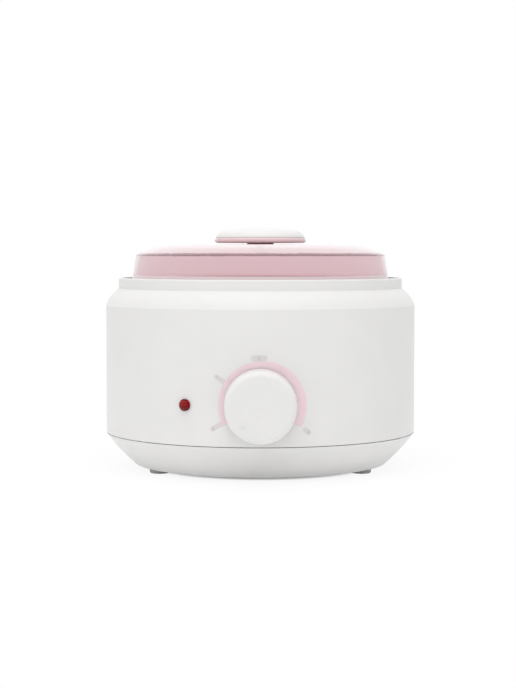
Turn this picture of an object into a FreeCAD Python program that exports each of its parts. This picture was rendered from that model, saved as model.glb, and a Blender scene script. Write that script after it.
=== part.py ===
import FreeCAD, Part
import math
import os
import Sketcher
from types import SimpleNamespace
from FreeCAD import Placement, Rotation, Vector

# Tabletop wax heater with a lift-out pot, a bail and a see-through lid.
# Millimetres, Z up, origin on the body axis at the underside of the feet, front towards -Y.

SIZES = {
    # outer shells
    "body_radius": 92.5,
    "flank_run": 17.0,
    "shoulder_run": 7.6,
    "foot_height": 2.6,
    "base_height": 18.7,
    "wall_height": 75.9,
    "shoulder_rise": 10.1,
    "collar_height": 6.2,
    "shell_wall": 2.5,
    "collar_wall": 2.0,
    "collar_round": 0.8,
    "shoulder_curve": 20.0,
    "flank_curve": 110.0,
    "base_round": 1.0,
    "seam_gap": 0.5,
    "lip_height": 4.0,
    "lip_wall": 1.8,
    "lip_clearance": 0.15,
    "deck_drop": 8.1,
    "deck_thickness": 4.0,
    "deck_clearance": 2.5,
    "deck_corner": 2.4,
    # screw posts that join the two shells
    "post_inset": 9.5,
    "post_angle": 45.0,
    "post_radius": 5.5,
    "boss_radius": 4.6,
    "boss_height": 10.0,
    "rib_width": 2.5,
    "screw_radius": 1.9,
    "screw_head_radius": 3.6,
    "screw_head_height": 2.6,
    "screw_recess": 6.0,
    "screw_grip": 8.0,
    "screw_clearance": 0.3,
    "pilot_clearance": 0.05,
    "drive_reach": 2.2,
    "drive_width": 0.9,
    "drive_depth": 1.3,
    # vents and feet
    "vent_start": 12.0,
    "vent_length": 16.0,
    "vent_width": 2.4,
    "foot_inset": 7.5,
    "foot_angle": 90.0,
    "foot_radius": 5.8,
    "foot_taper": 0.6,
    "foot_stem": 2.4,
    "foot_bulb": 3.3,
    "foot_bulb_height": 2.2,
    "stem_clearance": 0.1,
    # heating chamber and what is strapped to it
    "brim_land": 15.8,
    "pot_wall": 1.2,
    "pot_floor": 1.6,
    "pot_draft": 1.2,
    "pot_corner": 7.0,
    "pot_clearance": 0.8,
    "floor_gap": 0.6,
    "chamber_depth": 56.0,
    "chamber_wall": 1.5,
    "chamber_floor": 2.0,
    "chamber_corner": 8.0,
    "mouth_round": 2.0,
    "flange_gap": 3.9,
    "flange_thickness": 1.2,
    "gasket_thickness": 0.8,
    "gasket_width": 6.5,
    "gasket_inset": 0.5,
    "band_wall": 1.6,
    "band_height": 30.0,
    "band_drop": 18.0,
    "band_split_angle": 12.0,
    "clamp_wall": 0.6,
    "clamp_gap": 0.05,
    "clamp_height": 14.0,
    "clamp_split_angle": 16.0,
    "clamp_ear": 9.0,
    "clamp_screw_radius": 2.0,
    "clamp_nut_flats": 3.5,
    "clamp_overhang": 2.5,
    "sleeve_wall": 3.0,
    "sleeve_gap": 0.1,
    "sleeve_split_angle": 44.0,
    "sleeve_margin": 2.0,
    "bracket_angle": 30.0,
    "bracket_wall": 1.0,
    "bracket_width": 14.0,
    "bracket_drop": 7.0,
    "bracket_reach": 12.5,
    "bracket_screw_spot": 8.0,
    "bracket_screw_radius": 1.45,
    "bracket_screw_head": 2.8,
    "bracket_screw_head_height": 1.9,
    "bracket_screw_grip": 3.4,
    # brim, bail and its lugs
    "brim_clearance": 0.5,
    "brim_thickness": 1.2,
    "brim_corner": 1.8,
    "bead_width": 1.6,
    "bead_height": 1.0,
    "bead_clearance": 0.4,
    "bail_clearance": 2.3,
    "bail_wire": 1.2,
    "bail_bend": 2.0,
    "bail_lift": 2.4,
    "lug_wall": 0.9,
    "lug_inset": 0.2,
    "lug_radius": 2.3,
    "pin_clearance": 0.08,
    "pin_overhang": 0.2,
    # lid
    "lid_lip_step": 1.2,
    "lid_lip_height": 4.0,
    "skirt_clearance": 1.2,
    "lid_draft": 2.4,
    "lid_edge_height": 14.6,
    "lid_crown_run": 20.6,
    "lid_crown_rise": 6.0,
    "lid_curve": 40.0,
    "lid_pad_radius": 9.5,
    "lid_pad_rise": 0.3,
    "lid_wall": 2.2,
    "neck_radius": 8.1,
    "neck_height": 0.9,
    "grip_overhang": 0.7,
    "grip_height": 2.9,
    "grip_round": 1.3,
    "cap_radius": 26.6,
    "cap_height": 6.2,
    "cap_side": 0.6,
    "cap_shoulder_run": 6.6,
    "cap_shoulder_drop": 1.3,
    "cap_shoulder_curve": 7.5,
    "cap_wall": 1.5,
    "spigot_inset": 4.6,
    "spigot_height": 1.5,
    "spigot_clearance": 0.2,
    "lid_screw_boss": 5.0,
    "lid_screw_radius": 1.9,
    "lid_screw_grip": 5.0,
    "lid_screw_head": 4.0,
    "lid_screw_head_height": 2.4,
    "washer_radius": 6.0,
    "washer_thickness": 0.8,
    # control knob and thermostat
    "knob_height": 23.7,
    "knob_radius": 20.2,
    "knob_draft": 0.4,
    "knob_reach": 18.0,
    "knob_gap": 1.2,
    "knob_edge": 3.2,
    "knob_wall": 2.2,
    "knob_face": 2.4,
    "knob_boss": 5.6,
    "knob_rib": 1.4,
    "knob_rib_drop": 4.0,
    "pointer_spot": 14.0,
    "pointer_angle": 228.0,
    "pointer_radius": 1.1,
    "pointer_depth": 0.5,
    "shaft_radius": 3.0,
    "shaft_flat": 1.5,
    "shaft_clearance": 0.06,
    "shaft_end_gap": 0.3,
    "shaft_socket": 10.0,
    "spring_wall": 0.4,
    "spring_width": 4.0,
    "spring_clearance": 0.05,
    "bush_radius": 5.0,
    "bush_length": 10.5,
    "bush_clearance": 0.15,
    "panel_pad": 6.5,
    "panel_pad_radius": 11.0,
    "panel_face": 0.8,
    "panel_face_radius": 10.0,
    "nut_flats": 7.0,
    "nut_thickness": 3.0,
    "stat_width": 28.0,
    "stat_height": 20.0,
    "stat_depth": 14.0,
    "tab_width": 6.3,
    "tab_wall": 0.8,
    "tab_length": 8.0,
    "lead_spot": 10.0,
    "bulb_radius": 3.0,
    "bulb_length": 40.0,
    "bulb_start": 20.0,
    "tube_radius": 0.7,
    "clip_wall": 0.8,
    "clip_length": 8.0,
    "clip_foot": 5.0,
    "clip_clearance": 0.1,
    "fuse_radius": 2.5,
    "fuse_length": 28.0,
    "fuse_lead": 6.2,
    # indicator
    "lamp_angle": 333.15,
    "lamp_height": 23.0,
    "lens_radius": 3.35,
    "lens_rim": 1.0,
    "lens_rim_step": 0.5,
    "lens_dome": 2.6,
    "lens_body": 2.4,
    "lens_wall": 0.7,
    "lens_length": 7.0,
    "lens_crown": 1.6,
    "lens_clearance": 0.1,
    "lens_seat_gap": 0.05,
    "lamp_radius": 1.5,
    "lamp_length": 12.0,
    "lamp_gap": 0.5,
    "retainer_radius": 5.2,
    "retainer_wall": 0.8,
    "retainer_gap": 0.4,
    # supply entry
    "gland_height": 15.0,
    "gland_bore": 3.4,
    "gland_sleeve": 5.5,
    "gland_flange": 8.0,
    "gland_flange_wall": 2.5,
    "gland_face": 0.8,
    "gland_pad": 6.5,
    "gland_pad_radius": 10.0,
    "gland_sleeve_length": 12.0,
    "gland_clearance": 0.1,
    "gland_nut_flats": 7.5,
    "gland_nut_wall": 4.0,
    "block_width": 30.0,
    "block_depth": 16.0,
    "block_height": 13.0,
    "block_spot": 40.0,
    "block_pad": 3.0,
    "block_wire_bore": 1.8,
    "block_screw_radius": 1.5,
    "block_screw_length": 5.0,
    "block_screw_slack": 0.6,
    "lead_radius": 1.1,
    "lead_bend": 10.0,
    "lead_entry": 4.0,
    "lead_tab_gap": 0.7,
    "lead_stand_off": 0.4,
    "block_fixing_head": 2.6,
    "block_fixing_radius": 1.4,
    "block_fixing_drop": 4.0,
    "block_fixing_grip": 4.0,
}

doc = FreeCAD.newDocument("wax_heater")
sheet = doc.addObject("Spreadsheet::Sheet", "Sizes")
for row, (name, value) in enumerate(SIZES.items(), start=1):
    sheet.set(f"A{row}", name)
    sheet.set(f"B{row}", str(value))
    sheet.setAlias(f"B{row}", name)
doc.recompute()


class Size:
    """A length or angle as a number together with the sheet expression that gives it."""

    def __init__(self, value, text):
        self.value = float(value)
        self.text = text

    def __add__(self, other):
        other = as_size(other)
        return Size(self.value + other.value, f"({self.text} + {other.text})")

    def __sub__(self, other):
        other = as_size(other)
        return Size(self.value - other.value, f"({self.text} - {other.text})")

    def __mul__(self, other):
        other = as_size(other)
        return Size(self.value * other.value, f"({self.text} * {other.text})")

    def __truediv__(self, other):
        other = as_size(other)
        return Size(self.value / other.value, f"({self.text} / {other.text})")

    def __neg__(self):
        return Size(-self.value, f"(0 - {self.text})")


def as_size(item):
    if isinstance(item, Size):
        return item
    return Size(item, repr(float(item)))


def root(size):
    return Size(math.sqrt(size.value), f"sqrt({size.text})")


def cosine(angle):
    return Size(math.cos(math.radians(angle.value)), f"cos({angle.text} * 1 deg)")


def sine(angle):
    return Size(math.sin(math.radians(angle.value)), f"sin({angle.text} * 1 deg)")


d = SimpleNamespace(**{name: Size(sheet.get(name), f"Sizes.{name}") for name in SIZES})
ZERO = as_size(0)
LEFT = 1
RIGHT = -1
EIGHTH_RUN = math.sin(math.radians(45))
EIGHTH_RISE = 1 - math.cos(math.radians(45))
POSTS = 4
VENTS = 10
FEET = ("back", "front_left", "front_right")
BRACKETS = ("right", "left", "front")
nodes = {}


# Sketch and feature helpers

def new_body(label, keep=True):
    """Start a PartDesign body; a kept one is written to its own file."""
    body = doc.addObject("PartDesign::Body", label)
    body.Label = label
    if keep:
        nodes[label] = body
    return body


def origin_item(body, role):
    return next(item for item in body.Origin.OriginFeatures if item.Role == role)


def sketch_on(body, plane, lift=None, across=None, up=None, turn=None, turn_axis=Vector(0, 0, 1)):
    """Attach a sketch to an origin plane, moved along its normal, x or y axis, or turned."""
    sketch = body.newObject("Sketcher::SketchObject", f"{body.Label}_sketch")
    sketch.AttachmentSupport = (origin_item(body, plane), [""])
    sketch.MapMode = "FlatFace"
    angle = turn.value if turn else 0.0
    moves = {"x": across, "y": up, "z": lift}
    base = Vector(*(move.value if move else 0.0 for move in moves.values()))
    sketch.AttachmentOffset = Placement(base, Rotation(turn_axis, angle))
    for axis, move in moves.items():
        if move:
            sketch.setExpression(f"AttachmentOffset.Base.{axis}", move.text)
    if turn:
        sketch.setExpression("AttachmentOffset.Rotation.Angle", turn.text)
    return sketch


def drive(sketch, constraints):
    """Add constraints and bind every one that carries a size to its expression."""
    numbers = sketch.addConstraint([constraint for constraint, size in constraints])
    for number, (constraint, size) in zip(numbers, constraints):
        if size is not None:
            sketch.setExpression(f"Constraints[{number}]", size.text)


def pinned(geo, end, spot):
    """Constraints that hold one point at a driven distance from the sketch origin."""
    held = []
    for kind, axis, size in (("DistanceX", -2, spot[0]), ("DistanceY", -1, spot[1])):
        if size.text == ZERO.text:
            held.append((Sketcher.Constraint("PointOnObject", geo, end, axis), None))
        else:
            held.append((Sketcher.Constraint(kind, -1, 1, geo, end, size.value), size))
    return held


def outline(sketch, points, closed=True):
    """Lines and arcs through driven points; (x, y, (radius, side)) starts an arc to the next one."""
    points = [(as_size(p[0]), as_size(p[1])) + tuple(p[2:]) for p in points]
    spans = len(points) if closed else len(points) - 1
    edges = []
    constraints = []
    for index in range(spans):
        here = points[index]
        there = points[(index + 1) % len(points)]
        start = Vector(here[0].value, here[1].value, 0)
        end = Vector(there[0].value, there[1].value, 0)
        if len(here) == 2:
            edges.append((sketch.addGeometry(Part.LineSegment(start, end)), 1, 2))
            continue
        radius, side = here[2]
        chord = end - start
        bow = radius.value - math.sqrt(radius.value ** 2 - chord.Length ** 2 / 4)
        middle = (start + end) * 0.5 + Vector(-chord.y, chord.x, 0) * (side * bow / chord.Length)
        geo = sketch.addGeometry(Part.Arc(start, middle, end))
        swapped = (sketch.getPoint(geo, 1) - start).Length > 1e-4
        edges.append((geo, 2, 1) if swapped else (geo, 1, 2))
        constraints.append((Sketcher.Constraint("Radius", geo, radius.value), radius))
    for index in range(spans):
        geo, first, last = edges[index]
        constraints += pinned(geo, first, points[index])
        if index + 1 < spans or closed:
            following = edges[(index + 1) % spans]
            joint = Sketcher.Constraint("Coincident", geo, last, following[0], following[1])
            constraints.append((joint, None))
        else:
            constraints += pinned(geo, last, points[-1])
    drive(sketch, constraints)
    return sketch


def circles(sketch, spots, radius):
    """Equal circles at driven centres."""
    constraints = []
    for spot in spots:
        spot = (as_size(spot[0]), as_size(spot[1]))
        centre = Vector(spot[0].value, spot[1].value, 0)
        geo = sketch.addGeometry(Part.Circle(centre, Vector(0, 0, 1), radius.value))
        constraints.append((Sketcher.Constraint("Radius", geo, radius.value), radius))
        constraints += pinned(geo, 3, spot)
    drive(sketch, constraints)
    return sketch


def box_points(left, right, low, high):
    return [(left, low), (right, low), (right, high), (left, high)]


def polygon_points(flats, corners=6):
    """Corners of a regular nut outline with the given half width across flats."""
    reach = flats / as_size(math.cos(math.pi / corners))
    spots = []
    for index in range(corners):
        angle = 2 * math.pi * index / corners
        spots.append((reach * math.cos(angle) if abs(math.cos(angle)) > 1e-9 else ZERO,
                      reach * math.sin(angle) if abs(math.sin(angle)) > 1e-9 else ZERO))
    return spots


def revolve(body, sketch, open_angle=None):
    """Turn a profile about its vertical axis; open_angle leaves a split on its far side."""
    feature = body.newObject("PartDesign::Revolution", f"{body.Label}_turn")
    feature.Profile = sketch
    feature.ReferenceAxis = (sketch, ["V_Axis"])
    feature.Angle = 360.0
    if open_angle:
        feature.Midplane = True
        feature.setExpression("Angle", f"360 deg - {open_angle.text} * 1 deg")
    sketch.Visibility = False
    doc.recompute()
    return feature


def extrude(body, sketch, length, kind="Pad", back=False, both=False):
    """Pad or pocket a sketch by a driven length and make sure that it changed the solid."""
    before = body.Shape.Volume if body.Tip else 0.0
    feature = body.newObject(f"PartDesign::{kind}", f"{body.Label}_{kind.lower()}")
    feature.Profile = sketch
    feature.Reversed = back
    feature.Midplane = both
    feature.setExpression("Length", length.text)
    sketch.Visibility = False
    doc.recompute()
    change = feature.Shape.Volume - before
    if (change >= -1e-6) if kind == "Pocket" else (change <= 1e-6):
        raise RuntimeError(f"{feature.Name} changed nothing")
    return feature


def cut(body, sketch, length, back=False, both=False):
    return extrude(body, sketch, length, "Pocket", back, both)


def around(body, features, count):
    """Repeat features evenly about the vertical axis."""
    pattern = body.newObject("PartDesign::PolarPattern", f"{body.Label}_pattern")
    pattern.Originals = features
    pattern.Axis = (origin_item(body, "Z_Axis"), [""])
    pattern.Angle = 360.0
    pattern.Occurrences = count
    body.Tip = pattern
    doc.recompute()
    return pattern


def turned(label, points, open_angle=None):
    """A piece revolved about the heater's vertical axis; a split one is open at the back."""
    body = new_body(label)
    front = sketch_on(body, "XZ_Plane", turn=as_size(270), turn_axis=Vector(0, 1, 0))
    revolve(body, outline(front, points), open_angle)
    return body


def turns(start, names):
    """Names paired with angles spaced evenly round the vertical axis."""
    return [(name, start + 360 / len(names) * index) for index, name in enumerate(names)]


def swing(body, angle):
    """Turn a whole piece about the heater's vertical axis."""
    body.Placement = Placement(Vector(0, 0, 0), Rotation(Vector(0, 0, 1), angle.value))
    body.setExpression("Placement.Rotation.Angle", angle.text)


def cross_recess(body, low, across=None):
    """A cross for the driver, cut upwards into the underside of a screw head."""
    half = d.drive_width / 2
    quarter = [(d.drive_reach, half), (half, half), (half, d.drive_reach)]
    spots = []
    for corner in range(4):
        spots += quarter
        quarter = [(-y, x) for x, y in quarter]
    cut(body, outline(sketch_on(body, "XY_Plane", low, across), spots), d.drive_depth, back=True)


def group(label, bodies):
    """One node that holds several loose solids."""
    compound = doc.addObject("Part::Compound", label)
    compound.Label = label
    compound.Links = bodies
    nodes[label] = compound


# Heights and radii that several pieces share

base_z = d.foot_height
floor_z = base_z + d.shell_wall
seam_z = base_z + d.base_height
wall_z = seam_z + d.wall_height
collar_z = wall_z + d.shoulder_rise
top_z = collar_z + d.collar_height
deck_z = top_z - d.deck_drop
under_deck_z = deck_z - d.deck_thickness
inner_radius = d.body_radius - d.shell_wall
base_radius = d.body_radius - d.flank_run
post_circle = base_radius - d.post_inset
foot_circle = base_radius - d.foot_inset
collar_radius = d.body_radius - d.shoulder_run
collar_bore = collar_radius - d.collar_wall
bail_radius = collar_bore - d.bail_clearance - d.bail_wire
lid_skirt_radius = bail_radius - d.bail_wire - d.skirt_clearance
lid_lip_radius = lid_skirt_radius - d.lid_lip_step
pot_radius = lid_lip_radius - d.brim_land
post_z = seam_z + d.lip_height
knob_z = seam_z + d.knob_height
lamp_z = seam_z + d.lamp_height
gland_z = seam_z + d.gland_height

chamber_bore = pot_radius + d.pot_wall + d.pot_clearance
chamber_radius = chamber_bore + d.chamber_wall
deck_bore = chamber_radius + d.deck_clearance
flange_z = deck_z + d.gasket_thickness
flange_top = flange_z + d.flange_thickness
flange_radius = collar_bore - d.flange_gap
chamber_floor_z = flange_top - d.chamber_depth
chamber_bottom_z = chamber_floor_z - d.chamber_floor
brim_top = flange_top + d.brim_thickness
brim_radius = collar_bore - d.brim_clearance
pivot_z = brim_top + d.bail_lift

knob_back = d.body_radius + d.knob_gap
knob_front = d.body_radius + d.knob_reach
pad_y = d.body_radius - d.panel_pad
face_y = d.body_radius - d.panel_face
gland_pad_y = d.body_radius - d.gland_pad
gland_face_y = d.body_radius - d.gland_face


# Upper housing: wall, rolled shoulder, collar, deck, screw bosses, panel and lamp holes

housing = turned("upper_housing", [
    (d.body_radius, seam_z + d.seam_gap),
    (d.body_radius, wall_z, (d.shoulder_curve, RIGHT)),
    (collar_radius, collar_z),
    (collar_radius, top_z - d.collar_round, (d.collar_round, RIGHT)),
    (collar_radius - d.collar_round, top_z),
    (collar_bore, top_z),
    (collar_bore, deck_z),
    (deck_bore, deck_z),
    (deck_bore, under_deck_z),
    (inner_radius - d.deck_corner, under_deck_z),
    (inner_radius, wall_z),
    (inner_radius, seam_z + d.seam_gap),
])
rib = extrude(housing, outline(
    sketch_on(housing, "XY_Plane", post_z, turn=d.post_angle),
    box_points(post_circle, inner_radius + d.shell_wall / 4, -d.rib_width / 2, d.rib_width / 2)),
    d.boss_height)
boss = extrude(housing, circles(
    sketch_on(housing, "XY_Plane", post_z, turn=d.post_angle), [(post_circle, 0)], d.boss_radius),
    d.boss_height)
pilot = cut(housing, circles(
    sketch_on(housing, "XY_Plane", post_z, turn=d.post_angle), [(post_circle, 0)],
    d.screw_radius + d.pilot_clearance),
    d.screw_grip + d.screw_clearance, back=True)
around(housing, [rib, boss, pilot], POSTS)
extrude(housing, circles(
    sketch_on(housing, "XZ_Plane", pad_y), [(0, knob_z)], d.panel_pad_radius),
    d.panel_pad - d.shell_wall / 2)
cut(housing, circles(
    sketch_on(housing, "XZ_Plane", face_y), [(0, knob_z)], d.panel_face_radius),
    d.panel_face + d.shell_wall, back=True)
cut(housing, circles(
    sketch_on(housing, "XZ_Plane", pad_y - d.shell_wall), [(0, knob_z)],
    d.bush_radius + d.bush_clearance),
    d.panel_pad + d.shell_wall * 2, back=True)
extrude(housing, circles(
    sketch_on(housing, "XZ_Plane", -gland_pad_y), [(0, gland_z)], d.gland_pad_radius),
    d.gland_pad - d.shell_wall / 2, back=True)
cut(housing, circles(
    sketch_on(housing, "XZ_Plane", -gland_face_y), [(0, gland_z)],
    d.gland_flange + d.gland_clearance),
    d.gland_face + d.shell_wall)
cut(housing, circles(
    sketch_on(housing, "XZ_Plane", -(gland_pad_y - d.shell_wall)), [(0, gland_z)],
    d.gland_sleeve + d.gland_clearance),
    d.gland_pad + d.shell_wall * 2)
cut(housing, circles(
    sketch_on(housing, "XZ_Plane", turn=d.lamp_angle, turn_axis=Vector(0, 1, 0)),
    [(0, lamp_z)], d.lens_body + d.lens_clearance),
    d.body_radius + d.shell_wall, back=True)
bracket_spot = chamber_radius + d.bracket_screw_spot
for side, angle in turns(d.bracket_angle, BRACKETS):
    cut(housing, circles(
        sketch_on(housing, "XY_Plane", under_deck_z, turn=angle), [(bracket_spot, 0)],
        d.bracket_screw_radius + d.pilot_clearance),
        d.bracket_screw_grip + d.pilot_clearance, back=True)


# Base cup: floor, flank, locating lip, screw posts, vents, foot sockets, terminal pad

lip_radius = inner_radius - d.lip_clearance
base = turned("base_cup", [
    (0, base_z),
    (base_radius - d.base_round * EIGHTH_RUN, base_z, (d.base_round, RIGHT)),
    (base_radius, base_z + d.base_round * EIGHTH_RISE, (d.flank_curve, RIGHT)),
    (d.body_radius, seam_z),
    (lip_radius, seam_z),
    (lip_radius, seam_z + d.lip_height),
    (lip_radius - d.lip_wall, seam_z + d.lip_height),
    (lip_radius - d.lip_wall, seam_z, (d.flank_curve, LEFT)),
    (base_radius - d.shell_wall / 2, floor_z),
    (0, floor_z),
])
post = extrude(base, circles(
    sketch_on(base, "XY_Plane", floor_z - d.shell_wall / 4, turn=d.post_angle),
    [(post_circle, 0)], d.post_radius),
    post_z - floor_z + d.shell_wall / 4)
recess = cut(base, circles(
    sketch_on(base, "XY_Plane", base_z, turn=d.post_angle), [(post_circle, 0)],
    d.screw_head_radius + d.screw_clearance),
    d.screw_recess, back=True)
passage = cut(base, circles(
    sketch_on(base, "XY_Plane", base_z, turn=d.post_angle), [(post_circle, 0)],
    d.screw_radius + d.screw_clearance),
    post_z - base_z, back=True)
around(base, [post, recess, passage], POSTS)
vent = cut(base, outline(
    sketch_on(base, "XY_Plane", base_z),
    box_points(d.vent_start, d.vent_start + d.vent_length, -d.vent_width / 2, d.vent_width / 2)),
    d.shell_wall, back=True)
around(base, [vent], VENTS)
socket = cut(base, circles(
    sketch_on(base, "XY_Plane", base_z, turn=d.foot_angle), [(foot_circle, 0)],
    d.foot_stem + d.stem_clearance),
    d.shell_wall, back=True)
around(base, [socket], len(FEET))
pad_low = d.block_spot - d.block_depth / 2
pad_high = d.block_spot + d.block_depth / 2
extrude(base, outline(
    sketch_on(base, "XY_Plane", floor_z - d.shell_wall / 4),
    box_points(-d.block_width / 2, d.block_width / 2, pad_low, pad_high)),
    d.block_pad + d.shell_wall / 4)
block_z = floor_z + d.block_pad
cut(base, circles(
    sketch_on(base, "XY_Plane", block_z), [(0, d.block_spot)],
    d.block_fixing_radius + d.pilot_clearance),
    d.block_fixing_grip + d.pilot_clearance)

screws = []
for name, angle in turns(d.post_angle, range(POSTS)):
    screw = new_body(f"base_screw_{name + 1}", keep=False)
    head_z = base_z + d.screw_recess
    revolve(screw, outline(sketch_on(screw, "XZ_Plane", across=post_circle), [
        (0, head_z - d.screw_head_height),
        (d.screw_head_radius, head_z - d.screw_head_height),
        (d.screw_head_radius, head_z),
        (d.screw_radius, head_z),
        (d.screw_radius, post_z + d.screw_grip),
        (0, post_z + d.screw_grip),
    ]))
    cross_recess(screw, head_z - d.screw_head_height, post_circle)
    swing(screw, angle)
    screws.append(screw)
group("base_screws", screws)

for side, angle in turns(d.foot_angle, FEET):
    foot = new_body(f"foot_{side}")
    revolve(foot, outline(sketch_on(foot, "XZ_Plane", across=foot_circle), [
        (0, 0),
        (d.foot_radius - d.foot_taper, 0),
        (d.foot_radius, d.foot_taper),
        (d.foot_radius, base_z),
        (d.foot_stem, base_z),
        (d.foot_stem, floor_z),
        (d.foot_bulb, floor_z),
        (d.foot_stem, floor_z + d.foot_bulb_height),
        (0, floor_z + d.foot_bulb_height),
    ]))
    swing(foot, angle)


# Heating chamber, its seal and the heater wrapped round it

turned("heating_chamber", [
    (0, chamber_bottom_z),
    (chamber_radius - d.chamber_corner, chamber_bottom_z, (d.chamber_corner, RIGHT)),
    (chamber_radius, chamber_bottom_z + d.chamber_corner),
    (chamber_radius, flange_z),
    (flange_radius, flange_z),
    (flange_radius, flange_top),
    (chamber_bore + d.mouth_round, flange_top, (d.mouth_round, RIGHT)),
    (chamber_bore, flange_top - d.mouth_round),
    (chamber_bore, chamber_floor_z + d.pot_corner, (d.pot_corner, LEFT)),
    (chamber_bore - d.pot_corner, chamber_floor_z),
    (0, chamber_floor_z),
])
gasket_outer = flange_radius - d.gasket_inset
turned("chamber_gasket", box_points(gasket_outer - d.gasket_width, gasket_outer, deck_z, flange_z))

band_top = flange_z - d.band_drop
band_low = band_top - d.band_height
band_radius = chamber_radius + d.band_wall
clamp_bore = band_radius + d.clamp_gap
clamp_radius = clamp_bore + d.clamp_wall
clamp_mid = band_low + d.band_height / 2
sleeve_bore = clamp_radius + d.sleeve_gap
turned("heater_band", box_points(
    chamber_radius + d.clamp_gap, band_radius, band_low, band_top), d.band_split_angle)
clamp = turned("band_clamp", box_points(
    clamp_bore, clamp_radius, clamp_mid - d.clamp_height / 2, clamp_mid + d.clamp_height / 2),
    d.clamp_split_angle)
ear_reach = clamp_bore + d.clamp_ear
ear_x = clamp_bore * sine(d.clamp_split_angle / 2)
for side in (1, -1):
    extrude(clamp, outline(
        sketch_on(clamp, "YZ_Plane", ear_x * side),
        box_points((clamp_bore + d.clamp_wall / 2) * cosine(d.clamp_split_angle / 2), ear_reach,
                   clamp_mid - d.clamp_height / 2, clamp_mid + d.clamp_height / 2)),
        d.clamp_wall, back=side < 0)
hole_y = ear_reach - d.clamp_ear / 2
cut(clamp, circles(
    sketch_on(clamp, "YZ_Plane"), [(hole_y, clamp_mid)],
    d.clamp_screw_radius + d.screw_clearance),
    ear_x * 4, both=True)
ear_face = ear_x + d.clamp_wall
clamp_screw = new_body("clamp_screw")
clamp_end = ear_face + d.nut_thickness + d.clamp_overhang
revolve(clamp_screw, outline(
    sketch_on(clamp_screw, "XY_Plane", clamp_mid, up=hole_y, turn=as_size(270)), [
        (0, -ear_face - d.screw_head_height),
        (d.screw_head_radius, -ear_face - d.screw_head_height),
        (d.screw_head_radius, -ear_face),
        (d.clamp_screw_radius, -ear_face),
        (d.clamp_screw_radius, clamp_end),
        (0, clamp_end),
    ]))
clamp_nut = new_body("clamp_nut")
extrude(clamp_nut, outline(
    sketch_on(clamp_nut, "YZ_Plane", ear_face, hole_y, clamp_mid),
    polygon_points(d.clamp_nut_flats)), d.nut_thickness)
cut(clamp_nut, circles(
    sketch_on(clamp_nut, "YZ_Plane", ear_face, hole_y, clamp_mid), [(0, 0)],
    d.clamp_screw_radius + d.pilot_clearance), d.nut_thickness, back=True)
turned("insulation_sleeve", box_points(
    sleeve_bore, sleeve_bore + d.sleeve_wall, band_low, band_top + d.sleeve_margin),
    d.sleeve_split_angle)

bracket_screws = []
for side, angle in turns(d.bracket_angle, BRACKETS):
    bracket = new_body(f"chamber_bracket_{side}")
    low = under_deck_z - d.bracket_wall
    extrude(bracket, outline(sketch_on(bracket, "XZ_Plane"), [
        (chamber_radius, under_deck_z - d.bracket_drop),
        (chamber_radius + d.bracket_wall, under_deck_z - d.bracket_drop),
        (chamber_radius + d.bracket_wall, low),
        (chamber_radius + d.bracket_reach, low),
        (chamber_radius + d.bracket_reach, under_deck_z),
        (chamber_radius, under_deck_z),
    ]), d.bracket_width, both=True)
    cut(bracket, circles(
        sketch_on(bracket, "XY_Plane", low), [(bracket_spot, 0)],
        d.bracket_screw_radius + d.screw_clearance), d.bracket_wall, back=True)
    swing(bracket, angle)
    screw = new_body(f"bracket_screw_{side}", keep=False)
    revolve(screw, outline(sketch_on(screw, "XZ_Plane", across=bracket_spot), [
        (0, low - d.bracket_screw_head_height),
        (d.bracket_screw_head, low - d.bracket_screw_head_height),
        (d.bracket_screw_head, low),
        (d.bracket_screw_radius, low),
        (d.bracket_screw_radius, under_deck_z + d.bracket_screw_grip),
        (0, under_deck_z + d.bracket_screw_grip),
    ]))
    swing(screw, angle)
    bracket_screws.append(screw)
group("bracket_screws", bracket_screws)


# Thermostat behind the front panel, its shaft, sensor and the control knob

stat = new_body("thermostat_body")
extrude(stat, outline(
    sketch_on(stat, "XZ_Plane", pad_y - d.stat_depth),
    box_points(-d.stat_width / 2, d.stat_width / 2, knob_z - d.stat_height / 2,
               knob_z + d.stat_height / 2)),
    d.stat_depth)
extrude(stat, circles(sketch_on(stat, "XZ_Plane", pad_y), [(0, knob_z)], d.bush_radius), d.bush_length)
shaft_start = pad_y - d.shaft_socket
cut(stat, circles(
    sketch_on(stat, "XZ_Plane", shaft_start), [(0, knob_z)], d.shaft_radius + d.shaft_clearance),
    d.shaft_socket + d.bush_length, back=True)

nut = new_body("thermostat_nut")
extrude(nut, outline(
    sketch_on(nut, "XZ_Plane", face_y, up=knob_z), polygon_points(d.nut_flats)), d.nut_thickness)
cut(nut, circles(
    sketch_on(nut, "XZ_Plane", face_y, up=knob_z), [(0, 0)], d.bush_radius + d.pilot_clearance),
    d.nut_thickness, back=True)

tabs = []
for side, name in ((1, "right"), (-1, "left")):
    tab = new_body(f"thermostat_tab_{name}", keep=False)
    middle = d.lead_spot * side
    extrude(tab, outline(
        sketch_on(tab, "XZ_Plane", pad_y - d.stat_depth / 2),
        box_points(middle - d.tab_width / 2, middle + d.tab_width / 2,
                   knob_z - d.stat_height / 2 - d.tab_length, knob_z - d.stat_height / 2)),
        d.tab_wall, both=True)
    tabs.append(tab)
group("thermostat_tabs", tabs)

bulb_z = chamber_bottom_z - d.bulb_radius - d.clip_clearance
bulb_front = pad_y - d.stat_depth - d.bulb_start
bulb = new_body("sensor_bulb")
extrude(bulb, circles(
    sketch_on(bulb, "XZ_Plane", bulb_front), [(0, bulb_z)], d.bulb_radius),
    d.bulb_length, back=True)
tube = new_body("capillary_tube")
extrude(tube, circles(
    sketch_on(tube, "XZ_Plane", bulb_front), [(0, bulb_z)], d.tube_radius), d.bulb_start)


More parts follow.
